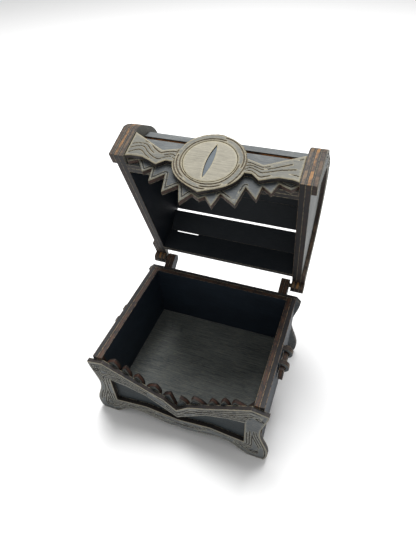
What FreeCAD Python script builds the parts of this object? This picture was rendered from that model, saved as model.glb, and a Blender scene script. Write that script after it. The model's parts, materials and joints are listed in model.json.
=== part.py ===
"""Dice storage chest of 3 mm plywood: a footed tray under a barrel lid with a toothed mouth.

Millimetres, +Z up, +Y to the back. x = 0 is the middle of the chest and z = 0 the ground.
While the pieces are drawn, y = 0 is the inner face of the tray's front wall. Every piece is
then moved back so that y = 0 is the middle of the whole object, standing with its lid open.
The lid is drawn shut and turned about its hinge to the open rest position.
"""
import FreeCAD
import Part
import math
import os

# --- driving dimensions ---------------------------------------------------------------
PLY = 3.0                  # thickness of every plywood layer
INNER_WIDTH = 96.0         # tray, between the inner side walls
INNER_DEPTH = 79.0         # tray, between the inner front and back walls
TRAY_DEPTH = 43.0          # floor to rim
FLOOR_LIFT = 12.0          # ground to the underside of the floor
SKIRT_LIFT = 9.0           # ground to the bottom edge of the inner walls

LID_OPEN_ANGLE = 70.5      # rest position, 0 is shut
LID_GAP = 0.2              # rim to the lid's mouth when shut
LID_FRONT_GAP = 0.3        # tray's front face to the lid's teeth when shut
BARREL_STEP = 22.5         # turn from one roof board to the next, degrees
BLOCK_HEIGHT = 21.0        # square blocks at the ends of the lid's front
BLOCK_PROUD = 0.5          # blocks stand this far in front of the eye board
FACING_DROP = 0.8          # front facing ends this far below the blocks' top
STRIP_WIDTH = 6.4          # strip along the foremost sloping roof board
STRIP_OFFSET = 1.6         # its middle from the board's middle, towards the back
STRIP_END_GAP = 0.4        # its ends to the side panels
SEAM_GAP = 1.4             # open seam over the lowest roof board at the back
SHORT_SEAM_GAP = 1.0       # open stretch of the seam over the back board
SHORT_SEAM_LENGTH = 17.0
SHORT_SEAM_INSET = 5.0     # from the left end of the back board

ARCH_PROUD = 4.0           # side arches rise this far over the roof boards
ARCH_BAND = 9.0            # width of the arch
ARCH_LEG = 7.0             # width of its front leg at the mouth
ARCH_TANGENT = 25.0        # front leg leaves the band at this angle over the horizontal

HINGE_BACK = 10.5          # hinge axis behind the back frame
HINGE_DROP = 1.5           # hinge axis below the rim
KNUCKLE_RADIUS = 4.0
PIN_DIAMETER = 3.0
PIN_RUNNING_CLEARANCE = 0.05
PIN_SEAT_CLEARANCE = 0.02
LUG_INSET = 1.5            # lid's ear to the first lug layer
LUG_LAYERS = 2
LUG_TOP = 3.0              # lug's root below the rim, top and bottom
LUG_BOTTOM = 16.0
LUG_TENON_MARGIN = 2.5     # tenon shorter than the root, each end
LUG_SWEEP = 6.0            # height of the curve under the lug's head

FRAME_OVERHANG = 3.5       # front and back frames stand past the side walls at the top
FRAME_WAIST = 4.2          # sides of the frames pull in by this at the waist
FOOT_FLARE = 1.5           # feet stand out past the top corners
FOOT_WIDTH = 9.5
RAIL_ARCH = 6.5            # ground to the rails' underside at the middle
WINDOW_SIDE = 10.0         # side posts of the front frame, from the tray's outer face
WINDOW_TOP = 18.0          # window's upper corners below the rim
WINDOW_SILL = 42.0         # window's lower corners below the rim
SILL_CREST = 3.5           # sill's highest places over those corners
MOUTH_DEPTH = 30.0         # notch in the front frame's top edge, at the middle
LIP_WIDTH = 9.0            # frame under that notch
PINCH_GAP = 2.9            # lip's point to the sill

TAB_WIDTH = 8.0            # finger joints
FINGER_COUNT = 7
JOINT_CLEARANCE = 0.05     # sides of a tab in its slot

EYE_HEIGHT = 8.0           # middle of the eye over the hinge axis
EYE_WIDTH = 28.9           # the disc is a little wider than tall
EYE_TALL = 27.4
EYE_CLEARANCE = 0.2        # round the disc
EYE_RING_WIDTH = 5.6       # over and under the disc
BEAM_END_TOP = 20.5        # eye board's beam over the hinge axis: ends, then dips
BEAM_END_BOTTOM = 3.0
BEAM_DIP_TOP = 10.5
BEAM_DIP_BOTTOM = 0.4
BEAM_DIP_OUT = 8.7         # dips from the eye ring
BEAM_WAVE = 3.5            # other waves of the beam's edges
PUPIL_LENGTH = 23.0
PUPIL_WIDTH = 4.2
PUPIL_DEPTH = 0.8
PUPIL_TILT = 2.5           # degrees

HANDLE_MIDDLE = 40.0       # y of the handle's middle
HANDLE_PIVOT_DROP = 11.0   # handle bar below the rim
HANDLE_PIVOT_OUT = 2.4     # handle bar out from the side wall
HANDLE_SIDE_GAP = 0.3      # posts to the hooks between them
HANDLE_HEIGHT = 10.0       # bar's middle to the bottom of the grip
HANDLE_BAR = 2.8
HANDLE_POST = 3.2
HANDLE_GRIP = 3.5
HANDLE_CORNER = 3.0
HOOK_SPACING = 11.0
HOOK_BORE_RADIUS = 2.3     # the square bar turns inside it
HOOK_RIM = 1.9             # width of the hook round its bore
HOOK_ROOT_RISE = 4.2       # top of the hook's root over the handle bar
HOOK_TIP_ANGLE = -120.0    # where the hook ends, 0 is straight out and 90 is up

# Shoulder of the side layers between block and roof: rise over the roof boards' outer face
# and angle about the barrel's middle.
SHOULDER = [(9.7, 160.5), (7.5, 154.0), (5.5, 147.0), (3.7, 142.5)]
SHOULDER_END = 136.0       # angle where it runs out on the roof board
ARCH_DIP = (2.1, 118.0)    # the arch dips here behind the shoulder
ARCH_FULL = 100.0          # angle from which the arch has its full radius

# Teeth: x of a tip or valley as a share of the half width, and its height as a share of the
# notch's depth (lower teeth, down from the rim) or of the longest tooth (upper teeth, from
# the hinge axis).
LOWER_TEETH = [(-0.83, -0.04), (-0.69, -0.15), (-0.525, -0.31), (-0.29, -0.50), (-0.095, -0.63),
               (0.035, -0.66), (0.23, -0.51), (0.475, -0.37), (0.635, -0.21), (0.77, -0.14)]
LOWER_VALLEY_DEPTH = 7.5   # a valley under the next tip towards the middle
LOWER_VALLEY_OUT = 1.8     # a valley inwards from the tip on its outer side
LOWER_SLOT = 1.2           # width of a valley's floor
LOWER_HOOK = (2.3, 4.5)    # where a tooth's inner edge bulges, inwards and down from its tip
LOWER_BACK_SHARE = 0.45    # where its outer edge bulges, as a share of the way to the tip
LOWER_BACK_DROP = 2.0
LOWER_END_Z = 50.0         # valleys next to the side walls
LOWER_END_X = (-47.3, 44.0)
UPPER_TOOTH_DROP = 18.6
UPPER_TEETH = [(-0.965, 0.10), (-0.735, -0.20), (-0.615, -0.49), (-0.415, -0.77), (-0.18, -1.0),
               (0.015, -0.78), (0.175, -0.95), (0.415, -0.78), (0.61, -0.50), (0.74, -0.22),
               (0.925, 0.0)]
UPPER_VALLEYS = [(-0.845, 0.215), (-0.64, -0.015), (-0.46, -0.15), (-0.26, -0.44),
                 (-0.08, -0.65), (0.075, -0.67), (0.225, -0.49), (0.46, -0.14), (0.63, -0.025),
                 (0.79, 0.135)]

# --- places that follow from them -----------------------------------------------------
HALF_WIDTH = INNER_WIDTH / 2
SIDE_FACE = HALF_WIDTH + 2 * PLY           # outer face of the side walls
RIM = FLOOR_LIFT + PLY + TRAY_DEPTH
FRONT_FACE = -2 * PLY
BACK_FACE = INNER_DEPTH + 2 * PLY
HINGE_Y = BACK_FACE + HINGE_BACK
HINGE_Z = RIM - HINGE_DROP

MOUTH = RIM + LID_GAP
LID_BACK_INNER = INNER_DEPTH + PLY         # lid's back board stands on the back frame
BARREL_INNER = (LID_BACK_INNER + LID_FRONT_GAP) / 2
BARREL_OUTER = BARREL_INNER + PLY
BARREL_Y = LID_BACK_INNER - BARREL_INNER
HALF_STEP_SLOPE = math.tan(math.radians(BARREL_STEP / 2))
BOARD_WIDTH = 2 * BARREL_INNER * HALF_STEP_SLOPE
BARREL_Z = MOUTH + BOARD_WIDTH / 2
FACING_Y = -LID_FRONT_GAP - 2 * PLY        # front of the lid's facing, flush with the tray's
TEETH_Y = FACING_Y - PLY
EYE_Y = TEETH_Y - PLY
BLOCK_Y = EYE_Y - BLOCK_PROUD
BLOCK_TOP = MOUTH + BLOCK_HEIGHT
ARCH_RADIUS = BARREL_OUTER + ARCH_PROUD
ARCH_INNER_RADIUS = ARCH_RADIUS - ARCH_BAND

RING_RADIUS = EYE_TALL / 2 + EYE_RING_WIDTH

PIVOT_X = SIDE_FACE + HANDLE_PIVOT_OUT
PIVOT_Z = RIM - HANDLE_PIVOT_DROP


def vector(x, y, z):
    return FreeCAD.Vector(x, y, z)


def opened_point(y, z):
    """Where a point of the shut lid goes when the lid stands open."""
    turn = math.radians(LID_OPEN_ANGLE)
    forward = HINGE_Y - y
    up = z - HINGE_Z
    return (HINGE_Y - forward * math.cos(turn) + up * math.sin(turn),
            HINGE_Z + forward * math.sin(turn) + up * math.cos(turn))


REST_BACK = opened_point(BARREL_Y, BARREL_Z)[0] + ARCH_RADIUS
ORIGIN_Y = (FRONT_FACE + REST_BACK) / 2


# --- outlines and plates --------------------------------------------------------------
def facing_front(u, v):
    """Outline point (x, z) of a plate that faces the front."""
    return vector(u, 0, v)


def facing_side(u, v):
    """Outline point (y, z) of a plate that faces the side."""
    return vector(0, u, v)


def arc(middle, end):
    return ("arc", middle, end)


def curve(*points):
    return ("curve",) + points


def face(plane, start, moves):
    """Flat face from a start point and moves: points, arcs or smooth curves."""
    edges = []
    here = start
    for move in list(moves) + [start]:
        if move[0] == "arc":
            middle, end = move[1], move[2]
            edges.append(Part.Arc(plane(*here), plane(*middle), plane(*end)).toShape())
        elif move[0] == "curve":
            end = move[-1]
            spline = Part.BSplineCurve()
            spline.interpolate([plane(*point) for point in (here,) + move[1:]])
            edges.append(spline.toShape())
        else:
            end = move
            if math.dist(here, end) > 1e-6:
                edges.append(Part.LineSegment(plane(*here), plane(*end)).toShape())
        here = end
    return Part.Face(Part.Wire(edges))


def front_plate(start, moves, y, thickness=PLY):
    """Plate drawn in x and z, from y to y + thickness."""
    plate = face(facing_front, start, moves).extrude(vector(0, thickness, 0))
    plate.translate(vector(0, y, 0))
    return plate


def side_plate(start, moves, side, x, thickness=PLY):
    """Plate drawn in y and z on side -1 or 1, with its inner face x from the middle."""
    plate = face(facing_side, start, moves).extrude(vector(side * thickness, 0, 0))
    plate.translate(vector(side * x, 0, 0))
    return plate


def block(x_range, y_range, z_range):
    """Box between two values of each coordinate, given in either order."""
    low = [min(pair) for pair in (x_range, y_range, z_range)]
    high = [max(pair) for pair in (x_range, y_range, z_range)]
    sizes = [top - bottom for top, bottom in zip(high, low)]
    return Part.makeBox(*sizes, vector(*low))


def rod(x_range, y, z, radius):
    """Round bar along x."""
    low = min(x_range)
    return Part.makeCylinder(radius, max(x_range) - low, vector(low, y, z), vector(1, 0, 0))


def mirrored(points):
    return [(-x, z) for x, z in reversed(points)]


def turned_back(start, moves):
    """The same curves from the other end and mirrored, without the start point."""
    ends = [start] + [move[-1] if move[0] == "curve" else move for move in moves]
    turned = []
    for move, (x, z) in reversed(list(zip(moves, ends))):
        if move[0] == "curve":
            turned.append(curve(*mirrored(move[1:-1]), (-x, z)))
        else:
            turned.append((-x, z))
    return turned


def save(name, shape, on_lid=False):
    """Put a finished piece in its rest place and write it."""
    piece = shape.removeSplitter()
    if on_lid:
        piece.rotate(vector(0, HINGE_Y, HINGE_Z), vector(-1, 0, 0), LID_OPEN_ANGLE)
    piece.translate(vector(0, -ORIGIN_Y, 0))
    solids = piece.Solids
    if len(solids) != 1 or not solids[0].isValid():
        raise ValueError(name + " is not one valid solid")
    solids[0].exportStep("parts/" + name + ".step")
    print(name, round(solids[0].Volume, 1))


SIDES = {"left": -1, "right": 1}


# --- tray -----------------------------------------------------------------------------
def tab_middles(length, count):
    """Middles of evenly spaced tabs along an edge of this length, from its middle."""
    pitch = length / count
    return [pitch * (index - (count - 1) / 2) for index in range(count)]


def floor_tabs(clearance):
    """Tabs of the floor that go into the four walls."""
    grow = TAB_WIDTH / 2 + clearance
    level = (FLOOR_LIFT - clearance, FLOOR_LIFT + PLY + clearance)
    tabs = []
    for x in tab_middles(INNER_WIDTH, 3):
        tabs.append(block((x - grow, x + grow), (-PLY, 0), level))
        tabs.append(block((x - grow, x + grow), (INNER_DEPTH, INNER_DEPTH + PLY), level))
    for offset in tab_middles(INNER_DEPTH, 3):
        y = INNER_DEPTH / 2 + offset
        for side in SIDES.values():
            ends = (side * HALF_WIDTH, side * (HALF_WIDTH + PLY))
            tabs.append(block(ends, (y - grow, y + grow), level))
    return tabs


def corner_fingers(first):
    """Fingers at the tray's four inner corners: every second one, from first."""
    pitch = (RIM - SKIRT_LIFT) / FINGER_COUNT
    fingers = []
    for index in range(first, FINGER_COUNT, 2):
        level = (SKIRT_LIFT + index * pitch, SKIRT_LIFT + (index + 1) * pitch)
        for side in SIDES.values():
            ends = (side * HALF_WIDTH, side * (HALF_WIDTH + PLY))
            fingers.append(block(ends, (-PLY, 0), level))
            fingers.append(block(ends, (INNER_DEPTH, INNER_DEPTH + PLY), level))
    return fingers


def floor_panel():
    panel = block((-HALF_WIDTH, HALF_WIDTH), (0, INNER_DEPTH), (FLOOR_LIFT, FLOOR_LIFT + PLY))
    return panel.fuse(floor_tabs(0))


def inner_side_wall(side):
    ends = (side * HALF_WIDTH, side * (HALF_WIDTH + PLY))
    wall = block(ends, (-PLY, INNER_DEPTH + PLY), (SKIRT_LIFT, RIM))
    return wall.cut(corner_fingers(1)).cut(floor_tabs(JOINT_CLEARANCE))


def outer_side_wall(side):
    """Outer wall with a foot at each end and slots for the handle hooks."""
    front = -PLY
    back = INNER_DEPTH + PLY
    bend = 0.4 * FOOT_WIDTH
    moves = [(front + FOOT_WIDTH, 0),
             curve((front + FOOT_WIDTH + bend, SKIRT_LIFT / 2),
                   (front + FOOT_WIDTH + 2 * bend, SKIRT_LIFT)),
             (back - FOOT_WIDTH - 2 * bend, SKIRT_LIFT),
             curve((back - FOOT_WIDTH - bend, SKIRT_LIFT / 2), (back - FOOT_WIDTH, 0)),
             (back, 0),
             (back, RIM),
             (front, RIM)]
    wall = side_plate((front, 0), moves, side, HALF_WIDTH + PLY)
    return wall.cut([hook_root(side, y, JOINT_CLEARANCE) for y in hook_places()])


def left_fins(tips, start_x, middle_valley):
    """Curves over teeth that lean right, from the end valley's x to the middle valley."""
    moves = []
    valley_x = start_x
    hook_in, hook_down = LOWER_HOOK
    for tip, following in zip(tips, tips[1:] + [None]):
        back_x = valley_x + LOWER_BACK_SHARE * (tip[0] - valley_x)
        moves.append(curve((back_x, tip[1] - LOWER_BACK_DROP), tip))
        if following is None:
            moves.append(middle_valley)
        else:
            valley = (tip[0] + LOWER_VALLEY_OUT, following[1] - LOWER_VALLEY_DEPTH)
            valley_x = valley[0] + LOWER_SLOT
            moves.append(curve((tip[0] + hook_in, tip[1] - hook_down), valley))
            moves.append((valley_x, valley[1]))
    return moves


def lower_tooth_line():
    """Top of the front wall: curved teeth that lean to the middle, from left to right."""
    tips = [(x * HALF_WIDTH, RIM + height * MOUTH_DEPTH) for x, height in LOWER_TEETH]
    left = [tip for tip in tips if tip[0] < 0]
    right = [tip for tip in tips if tip[0] > 0]
    valley = ((left[-1][0] + right[0][0]) / 2, RIM - MOUTH_DEPTH - 1)
    left_end, right_end = LOWER_END_X
    moves = [(-HALF_WIDTH, RIM), (left_end, LOWER_END_Z)]
    moves += left_fins(left, left_end, valley)
    moves += turned_back((-right_end, LOWER_END_Z),
                         left_fins(mirrored(right), -right_end, (-valley[0], valley[1])))
    return moves + [(HALF_WIDTH, RIM)]


def front_wall():
    edge = HALF_WIDTH + PLY
    moves = [(-edge, RIM)] + lower_tooth_line() + [(edge, RIM), (edge, SKIRT_LIFT)]
    wall = front_plate((-edge, SKIRT_LIFT), moves, -PLY)
    return wall.cut(corner_fingers(0)).cut(floor_tabs(JOINT_CLEARANCE))


def back_inner_wall():
    edge = HALF_WIDTH + PLY
    wall = block((-edge, edge), (INNER_DEPTH, INNER_DEPTH + PLY), (SKIRT_LIFT, RIM))
    return wall.cut(corner_fingers(0)).cut(floor_tabs(JOINT_CLEARANCE))


def frame_corner():
    return (SIDE_FACE + FRAME_OVERHANG, RIM - FRAME_OVERHANG)


def frame_right_side():
    """Right edge of a frame from its top corner down to the foot, then to the middle."""
    corner_x, corner_z = frame_corner()
    foot_x = corner_x + FOOT_FLARE
    waist_z = 0.57 * RIM
    foot_inner = foot_x - FOOT_WIDTH - 2 * FOOT_FLARE
    crown = RAIL_ARCH + FOOT_WIDTH / 3
    return [curve((corner_x - 0.75 * FRAME_WAIST, RIM - 0.31 * RIM),
                  (corner_x - FRAME_WAIST, waist_z),
                  (corner_x - 0.75 * FRAME_WAIST, 0.45 * RIM),
                  (corner_x, 0.3 * RIM),
                  (foot_x, 0.06 * RIM)),
            (foot_x - FOOT_FLARE, 0),
            (foot_inner, 0),
            curve((foot_inner - 0.12 * foot_x, 0.6 * crown),
                  (foot_inner - 0.2 * foot_x, 0.93 * crown),
                  (foot_inner - 0.35 * foot_x, crown),
                  (0, RAIL_ARCH))]


def frame_left_side():
    """Left edge of a frame from the middle of its rail up to its top corner."""
    return turned_back(frame_corner(), frame_right_side())


def window():
    """Window of the front frame, pinched at the middle by the lip over it."""
    edge = SIDE_FACE - WINDOW_SIDE
    high = RIM - WINDOW_TOP
    lip = RIM - MOUTH_DEPTH - LIP_WIDTH
    sill = RIM - WINDOW_SILL
    upper = [(0.45 * edge, high - 0.3 * (high - lip)),
             (0.76 * edge, high - 0.08 * (high - lip)),
             (edge, high)]
    lower = [(edge, sill), (0.5 * edge, sill + SILL_CREST)]
    pinch = (0, lip - PINCH_GAP)
    return front_plate((0, lip), upper + lower + [pinch] + mirrored(lower) + mirrored(upper),
                       FRONT_FACE)


def front_frame():
    """Carved frame of the tray's front: feet, waist, window and a notched top edge."""
    shoulder = frame_corner()[0] - 3 * FRAME_OVERHANG
    bottom = RIM - MOUTH_DEPTH
    notch = [(0.17 * shoulder, RIM - 0.73 * MOUTH_DEPTH),
             (0.41 * shoulder, RIM - 0.55 * MOUTH_DEPTH),
             (0.7 * shoulder, RIM - 0.3 * MOUTH_DEPTH),
             (shoulder, RIM - 0.05 * MOUTH_DEPTH)]
    moves = notch + [frame_corner()] + frame_right_side() + frame_left_side() + mirrored(notch)
    return front_plate((0, bottom), moves, FRONT_FACE).cut(window())


def back_outer_frame():
    """Plain frame of the tray's back with slots for the hinge lugs."""
    shoulder = frame_corner()[0] - FRAME_OVERHANG
    moves = [frame_corner()] + frame_right_side() + frame_left_side() + [(-shoulder, RIM)]
    frame = front_plate((shoulder, RIM), moves, INNER_DEPTH + PLY)
    return frame.cut([lug_tenon(side, layer, JOINT_CLEARANCE)
                      for side in SIDES.values() for layer in range(LUG_LAYERS)])


# --- hinge ----------------------------------------------------------------------------
def round_point(radius, angle, middle=(0.0, 0.0)):
    turn = math.radians(angle)
    return (middle[0] + radius * math.cos(turn), middle[1] + radius * math.sin(turn))


def knuckle_point(angle):
    return round_point(KNUCKLE_RADIUS, angle, (HINGE_Y, HINGE_Z))


def lug_layer_range(side, layer):
    """Inner and outer x of one lug layer: layer 0 lies next to the lid's ear."""
    near = HALF_WIDTH - LUG_INSET - layer * PLY
    return (side * (near - PLY), side * near)


def lug_tenon(side, layer, clearance):
    inner, outer = lug_layer_range(side, layer)
    grow = side * clearance
    top = RIM - LUG_TOP - LUG_TENON_MARGIN + clearance
    bottom = RIM - LUG_BOTTOM + LUG_TENON_MARGIN - clearance
    return block((inner - grow, outer + grow), (BACK_FACE - PLY, BACK_FACE), (bottom, top))


def hinge_lug(side, layer):
    """One layer of a lug: a root on the back frame and a round head on the hinge axis."""
    inner = lug_layer_range(side, layer)[0]
    root_top = RIM - LUG_TOP
    root_bottom = RIM - LUG_BOTTOM
    moves = [knuckle_point(115),
             arc(knuckle_point(10), knuckle_point(-70)),
             curve((BACK_FACE + 0.55 * HINGE_BACK, root_bottom + LUG_SWEEP),
                   (BACK_FACE, root_bottom))]
    lug = side_plate((BACK_FACE, root_top), moves, side, abs(inner))
    bore = rod(lug_layer_range(side, layer), HINGE_Y, HINGE_Z,
               PIN_DIAMETER / 2 + PIN_SEAT_CLEARANCE)
    return lug.fuse(lug_tenon(side, layer, 0)).cut(bore)


def hinge_pin(side):
    inner = abs(lug_layer_range(side, LUG_LAYERS - 1)[0])
    ends = (side * inner, side * (SIDE_FACE + PLY))
    return rod(ends, HINGE_Y, HINGE_Z, PIN_DIAMETER / 2)


def ear_bore(side):
    ends = (side * HALF_WIDTH, side * (SIDE_FACE + PLY))
    return rod(ends, HINGE_Y, HINGE_Z, PIN_DIAMETER / 2 + PIN_RUNNING_CLEARANCE)


def ear_moves(back_edge):
    """Ear behind a side layer: from its back edge round the pin and up to the mouth line."""
    shoulder = BARREL_Z - 1
    top = 80
    meet = 180 - math.degrees(math.asin((MOUTH - HINGE_Z) / KNUCKLE_RADIUS))
    return [(back_edge, shoulder),
            curve((back_edge + 0.45 * (HINGE_Y - back_edge), HINGE_Z + 1.3 * KNUCKLE_RADIUS),
                  knuckle_point(top)),
            arc(knuckle_point((top + meet) / 2 - 180), knuckle_point(meet))]


# --- side handles ---------------------------------------------------------------------
def hook_places():
    return [HANDLE_MIDDLE - HOOK_SPACING / 2, HANDLE_MIDDLE + HOOK_SPACING / 2]


def hook_root(side, y, clearance):
    """Root of a hook, which is also its tenon in the outer side wall."""
    grow = PLY / 2 + clearance
    level = (PIVOT_Z + HOOK_BORE_RADIUS - clearance, PIVOT_Z + HOOK_ROOT_RISE + clearance)
    return block((side * (HALF_WIDTH + PLY), side * SIDE_FACE), (y - grow, y + grow), level)


def handle_hook(side, y):
    """Claw of ply that comes out of the wall, over the handle bar and back under it."""
    outer = HOOK_BORE_RADIUS + HOOK_RIM
    pivot = (PIVOT_X, PIVOT_Z)
    tip = HOOK_TIP_ANGLE
    moves = [(PIVOT_X, PIVOT_Z + outer),
             arc(round_point(outer, (90 + tip) / 2, pivot), round_point(outer, tip, pivot)),
             round_point(HOOK_BORE_RADIUS, tip, pivot),
             arc(round_point(HOOK_BORE_RADIUS, (90 + tip) / 2, pivot),
                 (PIVOT_X, PIVOT_Z + HOOK_BORE_RADIUS)),
             (SIDE_FACE, PIVOT_Z + HOOK_BORE_RADIUS)]
    hook = front_plate((SIDE_FACE, PIVOT_Z + HOOK_ROOT_RISE), moves, y - PLY / 2)
    if side < 0:
        hook = hook.mirror(vector(0, 0, 0), vector(1, 0, 0))
    return hook.fuse(hook_root(side, y, 0))


def rounded_box(left, right, bottom, top, lower_radius, upper_radius):
    """Start and moves of an upright rectangle with rounded corners."""
    low = lower_radius
    high = upper_radius
    low_sag = low * (1 - math.sqrt(0.5))
    high_sag = high * (1 - math.sqrt(0.5))
    moves = [(right - low, bottom),
             arc((right - low_sag, bottom + low_sag), (right, bottom + low)),
             (right, top - high),
             arc((right - high_sag, top - high_sag), (right - high, top)),
             (left + high, top),
             arc((left + high_sag, top - high_sag), (left, top - high)),
             (left, bottom + low),
             arc((left + low_sag, bottom + low_sag), (left + low, bottom))]
    return (left + low, bottom), moves


def side_handle(side):
    """Drop handle: a bar that lies in the hooks, two posts and a grip below."""
    half_hole = (HOOK_SPACING + PLY) / 2 + HANDLE_SIDE_GAP
    left = HANDLE_MIDDLE - half_hole - HANDLE_POST
    right = HANDLE_MIDDLE + half_hole + HANDLE_POST
    bottom = PIVOT_Z - HANDLE_HEIGHT
    bar = HANDLE_BAR / 2
    inner_x = PIVOT_X - PLY / 2
    outer = rounded_box(left, right, bottom, PIVOT_Z + bar, HANDLE_CORNER, bar)
    hole = rounded_box(left + HANDLE_POST, right - HANDLE_POST, bottom + HANDLE_GRIP,
                       PIVOT_Z - bar, HANDLE_CORNER - HANDLE_POST / 2, HANDLE_SIDE_GAP)
    return side_plate(*outer, side, inner_x).cut(side_plate(*hole, side, inner_x))


# --- lid ------------------------------------------------------------------------------
def barrel_vertex(apothem, index):
    """Corner of the barrel between boards index and index + 1, board 0 upright at the back."""
    angle = BARREL_STEP * (index + 0.5)
    radius = apothem / math.cos(math.radians(BARREL_STEP / 2))
    return round_point(radius, angle, (BARREL_Y, BARREL_Z))


def board_at(index, shape):
    """Turn something drawn for the upright back board round to another board's place."""
    turned = shape.copy()
    turned.rotate(vector(0, BARREL_Y, BARREL_Z), vector(1, 0, 0), index * BARREL_STEP)
    return turned


BOARD_COUNT = round(180 / BARREL_STEP) + 1
FRONT_BOARD = BOARD_COUNT - 1
THICKNESS_RANGE = (BARREL_Y + BARREL_INNER, BARREL_Y + BARREL_OUTER)


def board_tabs(index, clearance):
    """Tabs of a barrel board that go through the two inner side layers."""
    grow = TAB_WIDTH / 2 + clearance
    tabs = [block((side * HALF_WIDTH, side * SIDE_FACE), THICKNESS_RANGE,
                  (BARREL_Z - grow, BARREL_Z + grow)) for side in SIDES.values()]
    return [board_at(index, tab) for tab in tabs]


def barrel_board(index, upper_trim=0.0):
    """Board of the barrel with its tabs. A trim opens the seam on its far edge."""
    half = BOARD_WIDTH / 2
    board = block((-HALF_WIDTH, HALF_WIDTH), THICKNESS_RANGE,
                  (BARREL_Z - half, BARREL_Z + half - upper_trim))
    return board_at(index, board).fuse(board_tabs(index, 0))


def lid_back_board():
    """Back board. A stretch of its top edge is cut away near the left end."""
    start = -HALF_WIDTH + SHORT_SEAM_INSET
    top = BARREL_Z + BOARD_WIDTH / 2
    gap = block((start, start + SHORT_SEAM_LENGTH), THICKNESS_RANGE,
                (top - SHORT_SEAM_GAP, top))
    return barrel_board(0).cut(gap)


def roof_point(rise, angle):
    """Point at a height over the roof boards' outer face and an angle about the barrel."""
    return round_point(BARREL_OUTER + rise, angle, (BARREL_Y, BARREL_Z))


def shoulder_points():
    return [roof_point(rise, angle) for rise, angle in SHOULDER]


def lid_side_layer(side, layer):
    """Inner or outer side panel: front block, shoulder, barrel outline and hinge ear."""
    last_board = round(SHOULDER_END / BARREL_STEP)
    off_middle = math.radians(SHOULDER_END - last_board * BARREL_STEP)
    run_out = roof_point(BARREL_OUTER / math.cos(off_middle) - BARREL_OUTER, SHOULDER_END)
    moves = [(BLOCK_Y, BLOCK_TOP), curve(*shoulder_points(), run_out)]
    moves += [barrel_vertex(BARREL_OUTER, index) for index in range(last_board - 1, -1, -1)]
    moves += ear_moves(BARREL_Y + BARREL_OUTER)
    panel = side_plate((BLOCK_Y, MOUTH), moves, side, HALF_WIDTH + layer * PLY)
    for index in range(BOARD_COUNT):
        panel = panel.cut(board_tabs(index, JOINT_CLEARANCE))
    return panel.cut(ear_bore(side))


def lid_side_arch(side):
    """Outermost side layer: front block and leg, arch over the roof, back leg and ear."""
    middle = (BARREL_Y, BARREL_Z)
    moves = [(BLOCK_Y, BLOCK_TOP),
             curve(*shoulder_points(), roof_point(*ARCH_DIP), roof_point(ARCH_PROUD, ARCH_FULL)),
             arc(roof_point(ARCH_PROUD, ARCH_FULL / 2), roof_point(ARCH_PROUD, 0))]
    moves += ear_moves(BARREL_Y + ARCH_RADIUS)
    moves += [(BARREL_Y + ARCH_INNER_RADIUS, MOUTH),
              (BARREL_Y + ARCH_INNER_RADIUS, BARREL_Z),
              arc(round_point(ARCH_INNER_RADIUS, 90 - ARCH_TANGENT / 2, middle),
                  round_point(ARCH_INNER_RADIUS, 180 - ARCH_TANGENT, middle)),
              (BLOCK_Y + ARCH_LEG, MOUTH)]
    return side_plate((BLOCK_Y, MOUTH), moves, side, SIDE_FACE).cut(ear_bore(side))


def lid_front_facing():
    return block((-HALF_WIDTH, HALF_WIDTH), (FACING_Y, FACING_Y + PLY),
                 (MOUTH, BLOCK_TOP - FACING_DROP))


def roof_front_strip():
    """Narrow strip that lies on the foremost sloping roof board, over the facing."""
    end = HALF_WIDTH - STRIP_END_GAP
    middle = BARREL_Z - STRIP_OFFSET
    outer_face = BARREL_Y + BARREL_OUTER
    strip = block((-end, end), (outer_face, outer_face + PLY),
                  (middle - STRIP_WIDTH / 2, middle + STRIP_WIDTH / 2))
    return board_at(FRONT_BOARD - 1, strip)


def over_hinge(points):
    """Outline points whose heights are given over the hinge axis."""
    return [(x, HINGE_Z + height) for x, height in points]


def ring_point(share, angle):
    """Point near the eye ring's edge: a share of its radius, at an angle over the right."""
    return round_point(share * RING_RADIUS, angle, (0, EYE_HEIGHT))


def tooth_points(shares):
    return over_hinge([(x * HALF_WIDTH, height * UPPER_TOOTH_DROP) for x, height in shares])


def upper_teeth_panel():
    """Layer with the upper teeth, its plain top edge hidden behind the eye board."""
    edge = over_hinge([(HALF_WIDTH, BEAM_WAVE)])
    top = over_hinge([(HALF_WIDTH, BEAM_END_TOP - BEAM_WAVE),
                      (RING_RADIUS + BEAM_DIP_OUT, BEAM_DIP_TOP - BEAM_WAVE / 2),
                      ring_point(0.95, 10),
                      ring_point(0.85, 50),
                      ring_point(0.85, 90)])
    tips = tooth_points(UPPER_TEETH)
    teeth = tips[:1]
    for valley, tip in zip(tooth_points(UPPER_VALLEYS), tips[1:]):
        teeth += [valley, tip]
    start = mirrored(edge)[0]
    return front_plate(start, teeth + edge + top + mirrored(top[:-1]), TEETH_Y)


def eye_board_right_top(end):
    """Top edge of the eye board from its right end to the middle: beam, then brow."""
    beam = over_hinge([(end, BEAM_END_TOP),
                       (RING_RADIUS + BEAM_DIP_OUT, BEAM_DIP_TOP),
                       ring_point(1.0, 16)])
    brow = over_hinge([ring_point(1.0, 41), ring_point(0.98, 64), ring_point(0.98, 90)])
    return beam, brow


def eye_board_right_bottom(end):
    """Bottom edge of the eye board from its right end to the middle: beam, then chin."""
    ripple = BEAM_DIP_BOTTOM + BEAM_WAVE
    beam = over_hinge([(end, BEAM_END_BOTTOM),
                       (end - BEAM_WAVE, ripple),
                       (end - 3 * BEAM_WAVE, ripple),
                       (RING_RADIUS + BEAM_DIP_OUT, BEAM_DIP_BOTTOM),
                       (RING_RADIUS + BEAM_DIP_OUT / 2, ripple),
                       ring_point(1.05, -12)])
    chin = over_hinge([ring_point(1.0, -49), ring_point(0.985, -72), ring_point(1.067, -90)])
    return beam, chin


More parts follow.
